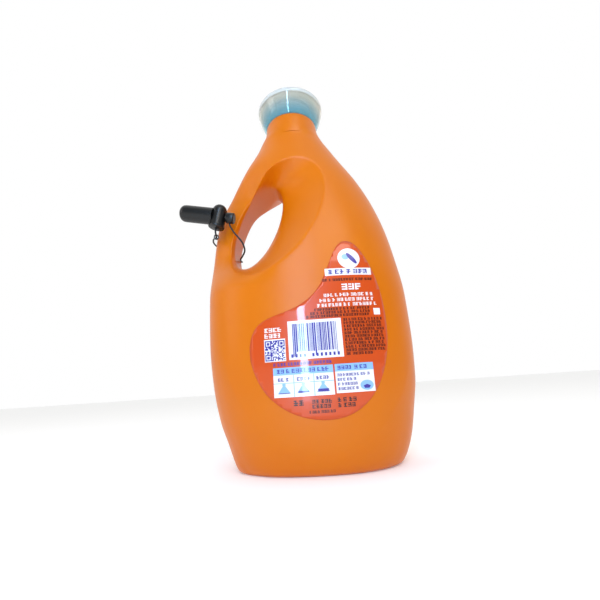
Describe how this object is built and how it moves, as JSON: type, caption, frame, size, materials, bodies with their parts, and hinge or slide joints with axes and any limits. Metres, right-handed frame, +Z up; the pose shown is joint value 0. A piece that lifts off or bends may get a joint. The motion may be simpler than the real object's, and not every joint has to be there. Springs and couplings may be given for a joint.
{
  "type": "detergent dispenser bottle",
  "caption": "Oval plastic laundry detergent bottle with a moulded-through side handle, pour spout, clear and teal dosing cap, wavy labels, and a black lanyard security tag on the handle.",
  "frame": {"origin": "middle of the base, on the floor", "axes": "+Z up along the height, -Y out of the back label's face, -X towards the handle"},
  "size_m": [0.1786, 0.096, 0.318],
  "materials": {
    "orange_plastic": "satin moulded",
    "clear_plastic": "clear",
    "teal_plastic": "clear tinted",
    "white_plastic": "satin",
    "label_film": "gloss printed film",
    "black_plastic": "satin",
    "steel": "plain",
    "ferrite": "matte sintered",
    "copper": "enamelled winding",
    "black_cord": "coated braid"
  },
  "bodies": {
    "bottle": {"bottle_body": "orange_plastic", "pour_collar": "orange_plastic", "pour_spout": "white_plastic", "back_label": "label_film", "front_label": "label_film", "tag_shell_front": "black_plastic", "tag_shell_rear": "black_plastic", "tag_ferrite": "ferrite", "tag_coil": "copper", "tag_capacitor": "ferrite", "cord_ferrule": "steel", "clutch_cup": "steel", "clutch_carrier": "steel", "clutch_ball_1": "steel", "clutch_ball_2": "steel", "clutch_ball_3": "steel", "clutch_spring": "steel", "lanyard": "black_cord", "lanyard_crimp": "black_plastic"},
    "cap_ring": {"cap_seal": "white_plastic"},
    "cap": {"cap_wall": "teal_plastic", "cap_top": "clear_plastic"},
    "pin": {"lock_pin": "steel", "pin_head": "black_plastic"}
  },
  "joints": [
    {"name": "cap_lift", "type": "slide", "parent": "bottle", "child": "cap_ring", "axis": [0, 0, 1], "range_m": [0, 0.045]},
    {"name": "cap_turn", "type": "hinge", "parent": "cap_ring", "child": "cap", "pos_m": [-0.0032, 0, 0.3], "axis": [0, 0, 1], "range_deg": [0, 1360]},
    {"name": "pin_pull", "type": "slide", "parent": "bottle", "child": "pin", "axis": [0.978, 0, -0.2085], "range_m": [0, 0.022], "deforming": ["lanyard"]}
  ],
  "couplings": [
    {"joint": "cap_turn", "follows": "cap_lift", "rad_per_m": 523.6}
  ]
}
